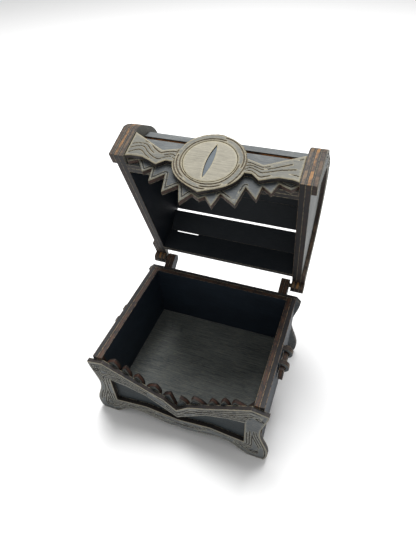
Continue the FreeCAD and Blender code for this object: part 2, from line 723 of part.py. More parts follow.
def eye_board():
    """Front board of the lid: wavy beam with a ring round the eye and a pointed chin."""
    end = HALF_WIDTH - EYE_CLEARANCE
    beam, brow = eye_board_right_top(end)
    moves = beam + [curve(*brow), curve(*mirrored(beam[-1:] + brow[:-1]))]
    moves += mirrored(beam[:-1])
    beam, chin = eye_board_right_bottom(end)
    moves += [(-x, z) for x, z in beam]
    moves += [curve(*[(-x, z) for x, z in chin]), curve(*reversed(chin[:-1]), beam[-1])]
    moves += list(reversed(beam))[1:-1]
    board = front_plate(beam[0], moves, EYE_Y)
    return board.cut(oval_plate(EYE_CLEARANCE))


def oval_plate(clearance):
    """Oval of the eye, larger all round by the clearance."""
    outline = Part.Ellipse(vector(0, 0, 0), EYE_WIDTH / 2 + clearance, EYE_TALL / 2 + clearance)
    plate = Part.Face(Part.Wire(outline.toShape())).extrude(vector(0, 0, -PLY))
    plate.rotate(vector(0, 0, 0), vector(1, 0, 0), 90)
    plate.translate(vector(0, EYE_Y, HINGE_Z + EYE_HEIGHT))
    return plate


def eye_disc():
    """Oval disc in the eye ring with a shallow pointed slit for the pupil."""
    middle = HINGE_Z + EYE_HEIGHT
    half = PUPIL_LENGTH / 2
    moves = [arc((PUPIL_WIDTH / 2, middle), (0, middle + half)),
             arc((-PUPIL_WIDTH / 2, middle), (0, middle - half))]
    slit = front_plate((0, middle - half), moves, EYE_Y, PUPIL_DEPTH)
    slit.rotate(vector(0, 0, middle), vector(0, 1, 0), PUPIL_TILT)
    return oval_plate(0).cut(slit)


# --- all pieces -----------------------------------------------------------------------
def save_tray():
    save("floor_panel", floor_panel())
    save("front_wall", front_wall())
    save("front_frame", front_frame())
    save("back_inner_wall", back_inner_wall())
    save("back_outer_frame", back_outer_frame())
    for name, side in SIDES.items():
        save(name + "_inner_wall", inner_side_wall(side))
        save(name + "_outer_wall", outer_side_wall(side))
        save(name + "_hinge_pin", hinge_pin(side))
        save(name + "_hinge_lug_outer", hinge_lug(side, 0))
        save(name + "_hinge_lug_inner", hinge_lug(side, 1))
        for place, y in zip(("front", "rear"), hook_places()):
            save(name + "_" + place + "_handle_hook", handle_hook(side, y))
        save(name + "_handle", side_handle(side))


def save_lid():
    save("lid_back_board", lid_back_board(), on_lid=True)
    save("lid_front_board", barrel_board(FRONT_BOARD), on_lid=True)
    for index in range(1, FRONT_BOARD):
        trim = SEAM_GAP if index == 1 else 0.0
        save("roof_board_" + str(index), barrel_board(index, trim), on_lid=True)
    for name, side in SIDES.items():
        save("lid_" + name + "_inner_panel", lid_side_layer(side, 0), on_lid=True)
        save("lid_" + name + "_outer_panel", lid_side_layer(side, 1), on_lid=True)
        save("lid_" + name + "_arch", lid_side_arch(side), on_lid=True)
    save("lid_front_facing", lid_front_facing(), on_lid=True)
    save("roof_front_strip", roof_front_strip(), on_lid=True)
    save("upper_teeth_panel", upper_teeth_panel(), on_lid=True)
    save("eye_board", eye_board(), on_lid=True)
    save("eye_disc", eye_disc(), on_lid=True)


if __name__ == "__main__":
    os.makedirs("parts", exist_ok=True)
    save_tray()
    save_lid()
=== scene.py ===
"""Looks of the dice storage chest: carved and stained plywood, a plain floor and soft light.

Everything is in metres in the row frame. A plate's own coordinates are in millimetres:
u along the grain, v across it and w through the thickness, 0 at the back and up to 3 at the
face. Carved plates are rebuilt as dense meshes on the outlines of the CAD nodes they replace.
"""
import json
import math

import bpy
import numpy as np
from mathutils import Matrix, Vector, noise
from mathutils.geometry import delaunay_2d_cdt


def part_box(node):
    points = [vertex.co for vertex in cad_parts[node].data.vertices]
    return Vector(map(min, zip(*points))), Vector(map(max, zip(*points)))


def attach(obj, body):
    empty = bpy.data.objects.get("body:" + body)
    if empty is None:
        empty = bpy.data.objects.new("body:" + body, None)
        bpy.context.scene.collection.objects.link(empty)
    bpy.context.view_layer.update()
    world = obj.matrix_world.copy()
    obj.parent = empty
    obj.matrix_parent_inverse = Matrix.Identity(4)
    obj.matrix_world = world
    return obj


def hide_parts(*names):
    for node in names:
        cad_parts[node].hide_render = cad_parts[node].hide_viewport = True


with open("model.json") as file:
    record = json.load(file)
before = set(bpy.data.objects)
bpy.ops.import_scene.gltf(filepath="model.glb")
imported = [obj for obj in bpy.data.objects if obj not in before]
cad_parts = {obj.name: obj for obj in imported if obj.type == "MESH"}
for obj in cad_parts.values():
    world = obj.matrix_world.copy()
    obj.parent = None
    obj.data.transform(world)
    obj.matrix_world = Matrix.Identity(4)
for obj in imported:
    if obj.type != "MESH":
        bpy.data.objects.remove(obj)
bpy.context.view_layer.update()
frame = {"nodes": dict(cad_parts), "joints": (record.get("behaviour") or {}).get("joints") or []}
NODES = frame["nodes"]
MM = 0.001

HINGE = next(joint for joint in frame["joints"] if joint["name"] == "lid_hinge")
HINGE_POINT = Vector(HINGE["pos_m"])
LID_TURN = math.radians(HINGE["range_deg"][0])      # from the open rest pose to shut
PLY = (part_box("floor_panel")[1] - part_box("floor_panel")[0]).z / MM
ROOF_STEP = math.radians(22.5)
PUPIL_DEPTH = 0.8
SHARP_TURN = math.radians(25)
BARREL_FROM_HINGE = Vector((0, -54.65, 9.885))      # middle of the roof's arc, lid shut, mm
ROOF_RADIUS = 44.15
PUPIL_SHARE = 0.85              # width of the slit as drawn, as a share of the solid's slit
FRAME_LINES = (1.7, 3.4, 5.0, 6.6)                  # engraved lines, mm in from the edge
BACK_FRAME_LINES = (2.2, 4.6, 7.5, 11, 15)
ARCH_LINES = (1.6, 3.2)
UPPER_TEETH_LINES = (1.4,)
LOWER_TEETH_LINES = (1.3,)
RING_LINES = (1.3, 3.0, 4.4)                        # out from the hole in the eye board
RING_REACH = 4.5                                    # from the hole to where the beam starts
BEAM_LINES = (0.2, 0.42, 0.62, 0.8)                 # shares of the beam's height
ROOF_BOARDS = sorted(name for name in NODES if name.startswith("roof_board_"))

X, Y, Z = Vector((1, 0, 0)), Vector((0, 1, 0)), Vector((0, 0, 1))
SIDES = {"left": -1, "right": 1}


# --- plates and their own coordinates ---------------------------------------------------
def unlid(direction):
    """Direction in the shut lid turned to where the lid stands open."""
    return Matrix.Rotation(LID_TURN, 3, Vector(HINGE["axis"])).inverted() @ direction


class Plate:
    """A node's own axes: grain, across, through (towards its face), and its origin."""

    def __init__(self, name, grain, through, on_lid=False):
        turn = unlid if on_lid else (lambda direction: direction)
        self.name = name
        self.u = turn(grain).normalized()
        self.w = turn(through).normalized()
        self.v = self.w.cross(self.u)
        points = np.array([vertex.co for vertex in NODES[name].data.vertices])
        depth = points @ np.array(self.w)
        middle = points.mean(axis=0)
        self.origin = Vector(middle) + self.w * (float(depth.min()) - Vector(middle).dot(self.w))
        self.rows = Matrix((self.u, self.v, self.w))

    def local(self, points):
        """Row frame points, in metres, as an array of u, v, w in millimetres."""
        return (np.asarray(points) - np.array(self.origin)) @ np.array(self.rows).T / MM

    def world(self, points):
        """Plate points in millimetres as row frame points in metres."""
        return np.asarray(points) * MM @ np.array(self.rows) + np.array(self.origin)


def roof_direction(index):
    """Way out of the barrel at a roof board, counted from the upright back board."""
    angle = index * ROOF_STEP
    return Vector((0, math.cos(angle), math.sin(angle)))


def all_plates():
    plates = [Plate("floor_panel", X, Z),
              Plate("front_wall", X, -Y),
              Plate("front_frame", X, -Y),
              Plate("back_inner_wall", X, -Y),
              Plate("back_outer_frame", X, Y),
              Plate("lid_front_board", X, -Y, True),
              Plate("lid_front_facing", X, -Y, True),
              Plate("roof_front_strip", X, roof_direction(len(ROOF_BOARDS)), True),
              Plate("upper_teeth_panel", X, -Y, True),
              Plate("eye_board", X, -Y, True),
              Plate("eye_disc", X, -Y, True),
              Plate("lid_back_board", X, Y, True)]
    for index, name in enumerate(ROOF_BOARDS, start=1):
        plates.append(Plate(name, X, roof_direction(index), True))
    for side_name, side in SIDES.items():
        out = X * side
        plates += [Plate(side_name + "_inner_wall", Y, out),
                   Plate(side_name + "_outer_wall", Y, out),
                   Plate(side_name + "_hinge_lug_outer", Y, out),
                   Plate(side_name + "_hinge_lug_inner", Y, out),
                   Plate(side_name + "_front_handle_hook", X, -Y),
                   Plate(side_name + "_rear_handle_hook", X, -Y),
                   Plate(side_name + "_handle", Y, out),
                   Plate(side_name + "_hinge_pin", Y, out),
                   Plate("lid_" + side_name + "_inner_panel", Y, out, True),
                   Plate("lid_" + side_name + "_outer_panel", Y, out, True),
                   Plate("lid_" + side_name + "_arch", Y, out, True)]
    return {plate.name: plate for plate in plates}


PLATES = all_plates()


# --- material nodes ---------------------------------------------------------------------
class Shader:
    """Short names for building a node tree."""

    def __init__(self, tree):
        self.tree = tree
        tree.nodes.clear()

    def node(self, kind, inputs=(), **settings):
        made = self.tree.nodes.new(kind)
        for key, value in settings.items():
            setattr(made, key, value)
        for key, value in dict(inputs).items():
            if isinstance(value, bpy.types.NodeSocket):
                self.tree.links.new(value, made.inputs[key])
            else:
                made.inputs[key].default_value = value
        return made

    def math(self, operation, *values, clamp=False):
        inputs = dict(enumerate(values))
        return self.node("ShaderNodeMath", inputs, operation=operation, use_clamp=clamp).outputs[0]

    def smooth(self, value, low, high, from_value=0.0, to_value=1.0):
        """Smooth step of value between low and high."""
        made = self.node("ShaderNodeMapRange", {"Value": value, "From Min": low, "From Max": high,
                                                "To Min": from_value, "To Max": to_value},
                         interpolation_type="SMOOTHSTEP")
        return made.outputs["Result"]

    def mix(self, factor, first, second, blend="MIX"):
        made = self.node("ShaderNodeMix", data_type="RGBA", blend_type=blend)
        for index, value in ((0, factor), (6, first), (7, second)):
            if isinstance(value, bpy.types.NodeSocket):
                self.tree.links.new(value, made.inputs[index])
            else:
                made.inputs[index].default_value = value
        return made.outputs[2]

    def noise(self, vector, scale, detail=3.0, roughness=0.55, distortion=0.0):
        made = self.node("ShaderNodeTexNoise", {"Vector": vector, "Scale": scale,
                                                "Detail": detail, "Roughness": roughness,
                                                "Distortion": distortion})
        return made.outputs["Fac"]

    def stretched(self, vector, scale, shift=(0, 0, 0)):
        made = self.node("ShaderNodeMapping", {"Vector": vector, "Scale": scale,
                                               "Location": shift})
        return made.outputs[0]


def rgb(red, green, blue):
    """Linear colour from the 0 to 255 values of a picture."""
    def linear(value):
        share = value / 255
        return share / 12.92 if share <= 0.04045 else ((share + 0.055) / 1.055) ** 2.4
    return (linear(red), linear(green), linear(blue), 1.0)


GROUP_COLOURS = ("Face Dark", "Face Light", "Brush", "Groove", "Edge Skin", "Edge Core",
                 "End Core", "Arris", "Inner")
GROUP_VALUES = ("Brush Amount", "Arris Amount", "Grain Contrast", "Grain Depth", "Roughness",
                "Stain Amount", "Inner Shade")


def ply_group():
    """Node group of one stained plywood plate: faces, ply edges, engraving and wear."""
    group = bpy.data.node_groups.new("stained_ply", "ShaderNodeTree")
    group.interface.new_socket("Local", in_out="INPUT", socket_type="NodeSocketVector")
    group.interface.new_socket("Normal", in_out="INPUT", socket_type="NodeSocketVector")
    for name in GROUP_COLOURS:
        group.interface.new_socket(name, in_out="INPUT", socket_type="NodeSocketColor")
    for name in GROUP_VALUES:
        group.interface.new_socket(name, in_out="INPUT", socket_type="NodeSocketFloat")
    group.interface.new_socket("Shader", in_out="OUTPUT", socket_type="NodeSocketShader")
    s = Shader(group)
    given = s.node("NodeGroupInput").outputs
    local = given["Local"]
    apart = s.node("ShaderNodeSeparateXYZ", {0: local}).outputs
    facing = s.node("ShaderNodeSeparateXYZ", {0: given["Normal"]}).outputs
    across = facing[2]
    edge = s.smooth(s.math("ABSOLUTE", across), 0.75, 0.45)

    # faces: long grain, growth lines and cloudy stain
    long_grain = s.noise(s.stretched(local, (0.045, 1.7, 1.7)), 1.0, 5.0, 0.62, 0.08)
    fine_grain = s.noise(s.stretched(local, (0.35, 6.0, 6.0)), 1.0, 3.0, 0.6)
    cloud = s.noise(s.stretched(local, (0.03, 0.06, 0.06)), 1.0, 2.0, 0.5, 0.6)
    rings = s.math("FRACT", s.math("MULTIPLY", s.noise(
        s.stretched(local, (0.012, 0.1, 0.1), (3, 7, 1)), 1.0, 1.0, 0.5), 16.0))
    ring_line = s.smooth(s.math("ABSOLUTE", s.math("SUBTRACT", rings, 0.5)), 0.5, 0.32)
    grain = s.math("ADD", s.math("MULTIPLY", long_grain, 0.6), s.math("MULTIPLY", fine_grain, 0.4))
    grain = s.math("ADD", s.math("SUBTRACT", grain, 0.5), s.math(
        "MULTIPLY", s.math("SUBTRACT", ring_line, 0.5), 0.05))
    tone = s.math("ADD", s.math("MULTIPLY", grain, given["Grain Contrast"]), s.math(
        "MULTIPLY", s.math("SUBTRACT", cloud, 0.5), given["Stain Amount"]))
    tone = s.math("ADD", tone, 0.5, clamp=True)
    face = s.mix(tone, given["Face Dark"], given["Face Light"])

    # dry brush: broken pale streaks, more of them near raised and cut edges
    rim = s.node("ShaderNodeAttribute", attribute_name="rim").outputs["Fac"]
    groove = s.node("ShaderNodeAttribute", attribute_name="groove").outputs["Fac"]
    streak = s.noise(s.stretched(local, (0.25, 2.6, 2.6), (5, 2, 9)), 1.0, 4.0, 0.7)
    brush = s.smooth(s.math("ADD", streak, s.math("MULTIPLY", rim, 0.3)), 0.5, 0.72)
    brush = s.math("MULTIPLY", brush, given["Brush Amount"])
    face = s.mix(brush, face, given["Brush"])
    scrape = s.noise(s.stretched(local, (0.5, 0.9, 0.9), (8, 1, 3)), 1.0, 4.0, 0.7)
    lip = s.math("MULTIPLY", s.smooth(groove, 0.1, 0.45), s.smooth(scrape, 0.36, 0.6))
    face = s.mix(s.math("MULTIPLY", lip, 0.85), face, given["Brush"])
    face = s.mix(s.smooth(groove, 0.5, 0.72), face, given["Groove"])
    worn_rim = s.math("MULTIPLY", s.smooth(rim, 0.62, 0.9), s.smooth(scrape, 0.34, 0.56))
    face = s.mix(s.math("MULTIPLY", worn_rim, given["Arris Amount"]), face, given["Arris"])
    behind = s.math("MULTIPLY", s.smooth(across, -0.45, -0.75), given["Inner Shade"])
    face = s.mix(behind, face, given["Inner"])

    # cut edges: dark skins, a brown core and pale broken lines on the arrises
    through = s.math("DIVIDE", apart[2], PLY)
    from_skin = s.math("MULTIPLY", s.math("SUBTRACT", 0.5, s.math(
        "ABSOLUTE", s.math("SUBTRACT", through, 0.5))), PLY)
    wander = s.noise(s.stretched(local, (0.25, 0.25, 0.25), (1, 4, 4)), 1.0, 3.0)
    from_skin = s.math("ADD", from_skin, s.math("MULTIPLY", s.math(
        "SUBTRACT", wander, 0.5), 0.5))
    core = s.smooth(from_skin, 0.55, 0.85)
    char = s.noise(s.stretched(local, (0.7, 0.7, 0.7), (9, 9, 2)), 1.0, 4.0, 0.65)
    end = s.smooth(s.math("ABSOLUTE", facing[0]), 0.6, 0.8)
    wood = s.mix(end, given["Edge Core"], given["End Core"])
    patch = s.noise(s.stretched(local, (0.16, 0.16, 0.16), (2, 6, 4)), 1.0, 3.0, 0.6)
    bare = s.math("ADD", s.math("MULTIPLY", s.smooth(patch, 0.34, 0.58), 0.65), s.math(
        "MULTIPLY", s.smooth(char, 0.35, 0.65), 0.35))
    worn_core = s.mix(bare, given["Edge Skin"], wood)
    cut = s.mix(core, given["Edge Skin"], worn_core)
    line = s.math("MULTIPLY", s.smooth(from_skin, 0.38, 0.12), s.smooth(char, 0.36, 0.58))
    cut = s.mix(s.math("MULTIPLY", line, given["Arris Amount"]), cut, given["Arris"])
    colour = s.mix(edge, face, cut)

    # arrises of the plain plates, found from the rounded normal
    rounded = s.node("ShaderNodeBevel", {"Radius": 0.35 * MM}, samples=6).outputs[0]
    true = s.node("ShaderNodeNewGeometry").outputs["Normal"]
    turn = s.node("ShaderNodeVectorMath", {0: rounded, 1: true}, operation="DOT_PRODUCT")
    near_edge = s.smooth(turn.outputs["Value"], 0.985, 0.9)
    wear = s.math("MULTIPLY", near_edge, s.smooth(char, 0.42, 0.6))
    colour = s.mix(s.math("MULTIPLY", wear, s.math("MULTIPLY", given["Arris Amount"], 0.8)),
                   colour, given["Arris"])

    height = s.math("ADD", s.math("MULTIPLY", long_grain, 0.6), s.math(
        "MULTIPLY", fine_grain, 0.5))
    bump = s.node("ShaderNodeBump", {"Height": height, "Normal": rounded,
                                     "Strength": given["Grain Depth"], "Distance": 0.25 * MM})
    rough = s.math("ADD", given["Roughness"], s.math("MULTIPLY", s.math(
        "SUBTRACT", long_grain, 0.5), 0.25))
    surface = s.node("ShaderNodeBsdfPrincipled", {"Base Color": colour, "Roughness": rough,
                                                  "Normal": bump.outputs[0],
                                                  "Specular IOR Level": 0.35})
    s.node("NodeGroupOutput", {"Shader": surface.outputs[0]})
    return group


PLY_GROUP = ply_group()

DARK_STAIN = {"Face Dark": rgb(9, 16, 26), "Face Light": rgb(34, 46, 58),
              "Brush": rgb(74, 80, 78), "Groove": rgb(8, 10, 12),
              "Edge Skin": rgb(18, 19, 22), "Edge Core": rgb(78, 50, 32),
              "End Core": rgb(78, 50, 32), "Arris": rgb(150, 122, 90),
              "Inner": rgb(9, 13, 18), "Brush Amount": 0.15,
              "Arris Amount": 0.6, "Grain Contrast": 2.6, "Grain Depth": 0.35,
              "Roughness": 0.6, "Stain Amount": 0.9, "Inner Shade": 0.0}
OUTER_STAIN = dict(DARK_STAIN, **{"Edge Core": rgb(34, 31, 32), "End Core": rgb(34, 31, 32)})
LID_INSIDE = dict(DARK_STAIN, **{"Face Dark": rgb(6, 11, 18), "Face Light": rgb(20, 28, 38),
                                 "Brush": rgb(48, 52, 44), "Edge Core": rgb(30, 25, 24),
                                 "End Core": rgb(112, 90, 64), "Arris Amount": 0.3})
FLOOR_STAIN = dict(DARK_STAIN, **{"Face Dark": rgb(42, 50, 54), "Face Light": rgb(108, 112, 108),
                                  "Brush": rgb(150, 142, 122), "Brush Amount": 0.5,
                                  "Grain Contrast": 3.4, "Stain Amount": 0.8})
GREY_PAINT = dict(DARK_STAIN, **{"Face Dark": rgb(42, 48, 53), "Face Light": rgb(104, 108, 109),
                                 "Brush": rgb(150, 148, 136), "Groove": rgb(24, 24, 25),
                                 "Edge Skin": rgb(24, 26, 29), "Edge Core": rgb(46, 38, 34),
                                 "End Core": rgb(46, 38, 34), "Arris": rgb(158, 146, 118),
                                 "Brush Amount": 0.45, "Grain Contrast": 2.2,
                                 "Grain Depth": 0.6, "Arris Amount": 0.7})
ROOF_PAINT = dict(GREY_PAINT, **{"Inner": rgb(12, 20, 29), "Inner Shade": 0.87})
STRIP_PAINT = dict(GREY_PAINT, **{"Edge Core": rgb(172, 112, 60), "Arris Amount": 0.4})
# Grey paint of the lid's outer panels, its faces lighter than the other grey paint as a painted
# sheen of glancing light.
OUTER_PAINT_AND_SHEEN = dict(GREY_PAINT, **{"Face Dark": rgb(64, 68, 72), "Face Light": rgb(116, 119, 118),
                                  "Edge Core": rgb(48, 33, 27), "End Core": rgb(150, 108, 60),
                                  "Arris Amount": 0.35})
EYE_PAINT = dict(GREY_PAINT, **{"Face Dark": rgb(66, 68, 66), "Face Light": rgb(117, 116, 107),
                                "Brush": rgb(157, 149, 126), "Groove": rgb(70, 58, 43),
                                "Arris": rgb(166, 155, 125)})
TEETH_PAINT = dict(GREY_PAINT, **{"Face Dark": rgb(29, 35, 40), "Face Light": rgb(70, 75, 78),
                                  "Brush": rgb(128, 125, 108), "Groove": rgb(18, 20, 23),
                                  "Edge Skin": rgb(24, 22, 23), "Edge Core": rgb(66, 44, 34),
                                  "End Core": rgb(66, 44, 34),
                                  "Brush Amount": 0.3, "Arris Amount": 0.5})
MOUTH_PAINT = dict(TEETH_PAINT, **{"Face Dark": rgb(15, 21, 26), "Face Light": rgb(44, 53, 57),
                                   "Brush": rgb(84, 88, 82), "Edge Skin": rgb(18, 16, 17),
                                   "Edge Core": rgb(64, 40, 29), "End Core": rgb(64, 40, 29),
                                   "Arris": rgb(96, 82, 64), "Arris Amount": 0.4,
                                   "Inner": rgb(14, 19, 23), "Inner Shade": 0.9,
                                   "Grain Contrast": 3.0})
BLOCK_PAINT = dict(GREY_PAINT, **{"Edge Skin": rgb(30, 26, 25), "Edge Core": rgb(58, 42, 33),
                                  "End Core": rgb(92, 72, 52), "Arris": rgb(150, 134, 102),
                                  "Arris Amount": 0.5})
BLEACHED = dict(EYE_PAINT, **{"Face Dark": rgb(102, 98, 86), "Face Light": rgb(154, 149, 133),
                              "Brush": rgb(172, 167, 146), "Edge Skin": rgb(34, 28, 34),
                              "Edge Core": rgb(70, 56, 44), "End Core": rgb(70, 56, 44),
                              "Brush Amount": 0.3, "Grain Contrast": 2.8})
PUPIL = dict(DARK_STAIN, **{"Face Dark": rgb(58, 66, 74), "Face Light": rgb(92, 102, 108)})
BROWN_STAIN = dict(DARK_STAIN, **{"Face Dark": rgb(22, 19, 18), "Face Light": rgb(50, 40, 33)})


def ply_material(plate, look, over_roof=None):
    """Material of one plate: the shared group in the plate's own coordinates.

    A side panel's faces have another look where they stand over the roof boards: the outside's
    grey paint, made lighter than the paint beside it as painted light.
    """
    material = bpy.data.materials.new(plate.name)
    material.use_nodes = True
    s = Shader(material.node_tree)
    place = s.node("ShaderNodeTexCoord").outputs
    rows = plate.rows.to_4x4()
    shift = -(plate.rows @ plate.origin) / MM
    local = s.node("ShaderNodeMapping", {"Vector": place["Object"], "Location": shift,
                                         "Rotation": rows.to_euler(),
                                         "Scale": (1 / MM, 1 / MM, 1 / MM)})
    normal = s.node("ShaderNodeMapping", {"Vector": place["Normal"],
                                          "Rotation": rows.to_euler()}, vector_type="VECTOR")
    inputs = dict(look, Local=local.outputs[0], Normal=normal.outputs[0])
    if over_roof:
        middle = HINGE_POINT + unlid(BARREL_FROM_HINGE) * MM
        away = s.node("ShaderNodeVectorMath", {0: place["Object"], 1: middle},
                      operation="SUBTRACT")
        flat = s.node("ShaderNodeVectorMath", {0: away.outputs[0], 1: (0, 1, 1)},
                      operation="MULTIPLY")
        reach = s.node("ShaderNodeVectorMath", {0: flat.outputs[0]}, operation="LENGTH")
        outside = s.smooth(reach.outputs["Value"], ROOF_RADIUS * MM, (ROOF_RADIUS + 0.4) * MM)
        # faces above the roof: the outside's paint, lightened as painted light
        for key in ("Face Dark", "Face Light", "Brush"):
            inputs[key] = s.mix(outside, look[key], over_roof[key])
    group = s.node("ShaderNodeGroup", node_tree=PLY_GROUP)
    for key, value in inputs.items():
        if isinstance(value, bpy.types.NodeSocket):
            s.tree.links.new(value, group.inputs[key])
        else:
            group.inputs[key].default_value = value
    s.node("ShaderNodeOutputMaterial", {"Surface": group.outputs[0]})
    return material


def paint(thing, plate, look, over_roof=None):
    thing.data.materials.clear()
    thing.data.materials.append(ply_material(plate, look, over_roof))


# --- carved plates ----------------------------------------------------------------------
def face_loops(plate):
    """Outline loops of a node's front face in the plate's u and v, largest first."""
    data = NODES[plate.name].data
    points = plate.local([vertex.co for vertex in data.vertices])
    keys = [tuple(key) for key in np.round(points, 3)]
    links = {}
    for polygon in data.polygons:
        corners = [keys[index] for index in polygon.vertices]
        if min(corner[2] for corner in corners) < PLY - 0.01:
            continue
        for start, end in zip(corners, corners[1:] + corners[:1]):
            if (end, start) in links:
                del links[(end, start)]
            else:
                links[(start, end)] = True
    following = {start: end for start, end in links}
    loops = []
    while following:
        start, here = next(iter(following.items()))
        del following[start]
        loop = [start]
        while here != start:
            loop.append(here)
            here = following.pop(here)
        loops.append(np.array([point[:2] for point in loop]))
    return sorted(loops, key=lambda loop: -np.ptp(loop[:, 0]))


def resampled(loop, spacing):
    """The loop with evenly dense points: crowded ones dropped, long straight runs divided."""
    before = loop - np.roll(loop, 1, axis=0)
    after = np.roll(loop, -1, axis=0) - loop
    turn = np.abs(np.arctan2(before[:, 0] * after[:, 1] - before[:, 1] * after[:, 0],
                             (before * after).sum(axis=1)))
    kept = [loop[0]]
    for point, corner in zip(loop[1:], turn[1:] > SHARP_TURN):
        if corner and len(kept) > 1 and np.linalg.norm(point - kept[-1]) < 0.3 * spacing:
            kept[-1] = point
        elif corner or np.linalg.norm(point - kept[-1]) > 0.8 * spacing:
            kept.append(point)
    kept = np.array(kept)
    points = []
    for start, end in zip(kept, np.roll(kept, -1, axis=0)):
        count = max(1, int(np.linalg.norm(end - start) / spacing))
        for index in range(count):
            points.append(start + (end - start) * index / count)
    return np.array(points)


def wobble(points, size, seed):
    """Smooth noise from -1 to 1 at each point, with features of this size."""
    return np.array([noise.noise(Vector((u / size, v / size, seed))) * 2 for u, v in points])


def distance_to_run(points, start, end):
    """Distance from each point to the straight run between two points."""
    run = end - start
    along = ((points - start) @ run) / max(run @ run, 1e-12)
    foot = start + np.clip(along, 0, 1)[:, None] * run
    return np.linalg.norm(points - foot, axis=1)


def distance_and_inside(points, loops):
    """Distance from each point to the outline, and whether the point is inside it."""
    nearest = np.full(len(points), 1e9)
    crossings = np.zeros(len(points), int)
    for loop in loops:
        for start, end in zip(loop, np.roll(loop, -1, axis=0)):
            nearest = np.minimum(nearest, distance_to_run(points, start, end))
            spans = (start[1] > points[:, 1]) != (end[1] > points[:, 1])
            if start[1] != end[1]:
                slope = (end[0] - start[0]) / (end[1] - start[1])
                reach = start[0] + (points[:, 1] - start[1]) * slope
                crossings += spans & (points[:, 0] < reach)
    return nearest, crossings % 2 == 1


def near_line(values, width):
    """1 where values are 0, falling to 0 at the given width."""
    return np.clip(1 - np.abs(values) / width, 0, 1)


def groove_cut(closeness):
    """Share of the full depth from the closeness to a line: only the line's core is cut."""
    share = np.clip((closeness - 0.5) / 0.4, 0, 1)
    return share * share * (3 - 2 * share)


def flowing_grooves(points, depth_in, lines, seed, width=0.95, drift=0.55, breaks=0.1):
    """Closeness to lines that follow the outline at some distances in, wavering and broken."""
    waver = wobble(points, 16.0, seed) * drift
    close = np.zeros(len(points))
    for index, line in enumerate(lines):
        gate = wobble(points, 20.0, seed + 10 + index) + 0.55 - breaks
        gate = np.clip(gate * 5, 0, 1)
        close = np.maximum(close, near_line(depth_in + waver - line, width) * gate)
    return close


def knot_grooves(points, knots, width=0.9):
    """Closeness to oval rings: knots are (u, v, long radius, short radius, turn in degrees)."""
    close = np.zeros(len(points))
    for u, v, long_radius, short_radius, turn in knots:
        angle = math.radians(turn)
        away = points - np.array((u, v))
        along = away @ np.array((math.cos(angle), math.sin(angle)))
        across = away @ np.array((-math.sin(angle), math.cos(angle)))
        reach = np.hypot(along / long_radius, across / short_radius)
        close = np.maximum(close, near_line((reach - 1) * short_radius, width))
    return close


def triangles(points, segments, loops):
    """Counter-clockwise triangles over the points, only those inside the outline."""
    given = [Vector(point) for point in points]
    made, _, faces = delaunay_2d_cdt(given, segments, [], 0, 1e-5, False)[:3]
    if len(made) != len(points):
        raise ValueError("an outline crosses itself")
    corners = np.array([face[:3] for face in faces])
    _, inside = distance_and_inside(points[corners].mean(axis=1), loops)
    a, b, c = (points[corners[inside, place]] for place in range(3))
    turn = (b[:, 0] - a[:, 0]) * (c[:, 1] - a[:, 1]) - (b[:, 1] - a[:, 1]) * (c[:, 0] - a[:, 0])
    ordered = corners[inside]
    ordered[turn < 0] = ordered[turn < 0][:, ::-1]
    return [tuple(map(int, face)) for face in ordered]


def shape_loops(plate):
    """Outline loops of a plate, with the pupil's slit drawn narrower than the solid's."""
    loops = face_loops(plate)
    if plate.name == "eye_disc":
        slit = loops[1]
        middle = slit.mean(axis=0)
        long_way = slit[np.argmax(np.linalg.norm(slit - middle, axis=1))] - middle
        long_way /= np.linalg.norm(long_way)
        side_way = np.array((-long_way[1], long_way[0]))
        offset = (slit - middle) @ side_way
        loops[1] = slit - np.outer(offset * (1 - PUPIL_SHARE), side_way)
    return loops


def carve(plate, engrave, spacing=0.5, groove_depth=0.45, chamfer=0.3, ragged=0.1, seed=1.0):
    """Dense copy of a plate with engraved lines, worn arrises and a slightly ragged outline.

    engrave(points, distance_in) returns the groove strength, 0 to 1, at points in u and v.
    """
    loops = [resampled(loop, spacing) for loop in shape_loops(plate)]
    worn = []
    for loop in loops:
        ahead = np.roll(loop, -1, axis=0) - np.roll(loop, 1, axis=0)
        inward = np.stack((-ahead[:, 1], ahead[:, 0]), axis=1)
        inward /= np.maximum(np.linalg.norm(inward, axis=1), 1e-9)[:, None]
        bite = (wobble(loop, 2.5, seed) + wobble(loop, 0.9, seed + 3) * 0.6) * 0.5 + 0.5
        worn.append(loop + inward * (ragged * np.clip(bite, 0, 1.5))[:, None])
    low = np.min([loop.min(axis=0) for loop in worn], axis=0)
    high = np.max([loop.max(axis=0) for loop in worn], axis=0)
    columns = np.arange(low[0], high[0], spacing)
    lines = np.arange(low[1], high[1], spacing * 0.866)
    grid = np.array([(u + (row % 2) * spacing / 2, v) for row, v in enumerate(lines)
                     for u in columns])
    distance, inside = distance_and_inside(grid, worn)
    keep = inside & (distance > 0.55 * spacing)
    rim_points = np.concatenate(worn)
    flat = np.concatenate((rim_points, grid[keep]))
    distance = np.concatenate((np.zeros(len(rim_points)), distance[keep]))
    segments, at = [], 0
    for loop in worn:
        segments += [(at + index, at + (index + 1) % len(loop)) for index in range(len(loop))]
        at += len(loop)
    faces = triangles(flat, segments, worn)
    return solid_from_face(plate, flat, faces, segments, worn, distance,
                           engrave(flat, distance), groove_depth, chamfer)


